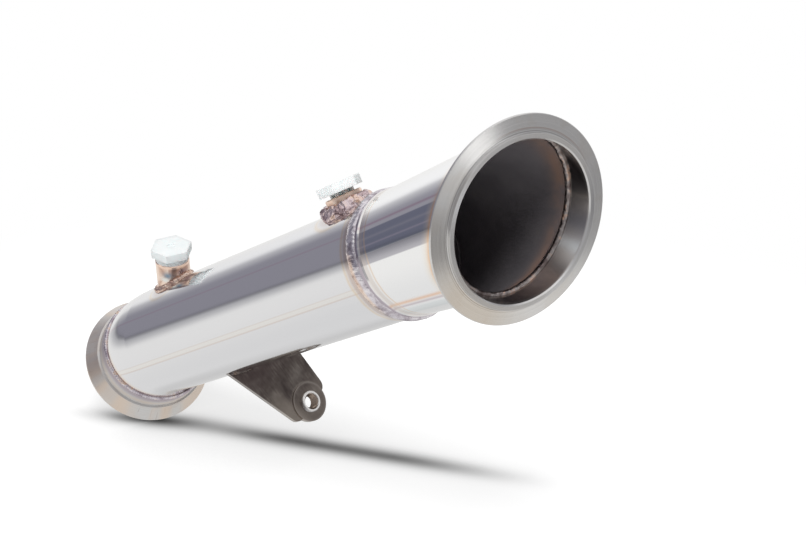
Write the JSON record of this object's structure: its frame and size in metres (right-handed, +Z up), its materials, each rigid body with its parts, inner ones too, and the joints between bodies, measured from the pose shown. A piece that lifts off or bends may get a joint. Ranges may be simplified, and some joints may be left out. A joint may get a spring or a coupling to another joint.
{
  "type": "turbo downpipe",
  "caption": "Straight stainless exhaust downpipe with a large tilted turbo flange, a tapered reducer, welded sensor bungs with plugs, a support bracket and an outlet flange.",
  "frame": {"origin": "centre of the turbo flange's rim, halfway through its width", "axes": "+X out of the turbo flange along its axis, towards the turbocharger; +Z up as in the picture; the pipe runs back and down from the flange, to the -Y side"},
  "size_m": [0.4805, 0.1794, 0.3547],
  "materials": {
    "machined_steel": "satin, turned, with fine circular tool marks",
    "polished_steel": "polished stainless tube with straw and purple heat tint beside the welds",
    "weld_bead": "rippled weld metal with brown and purple heat colours",
    "turned_steel": "turned, tinted by the weld's heat",
    "bracket_steel": "brushed plate, grey-brown",
    "clear_plastic": "milky translucent moulded plastic"
  },
  "bodies": {
    "root": {"turbo_flange": "machined_steel", "turbo_outer_weld": "weld_bead", "turbo_inner_weld": "weld_bead", "reducer": "polished_steel", "joint_weld": "weld_bead", "main_pipe": "polished_steel", "outlet_weld": "weld_bead", "outlet_flange": "machined_steel", "upper_sensor_bung": "turned_steel", "upper_bung_weld": "weld_bead", "upper_bung_plug": "clear_plastic", "lower_sensor_bung": "turned_steel", "lower_bung_weld": "weld_bead", "lower_bung_plug": "clear_plastic", "bracket": "bracket_steel", "bracket_weld": "weld_bead", "bracket_boss": "turned_steel"}
  },
  "joints": []
}
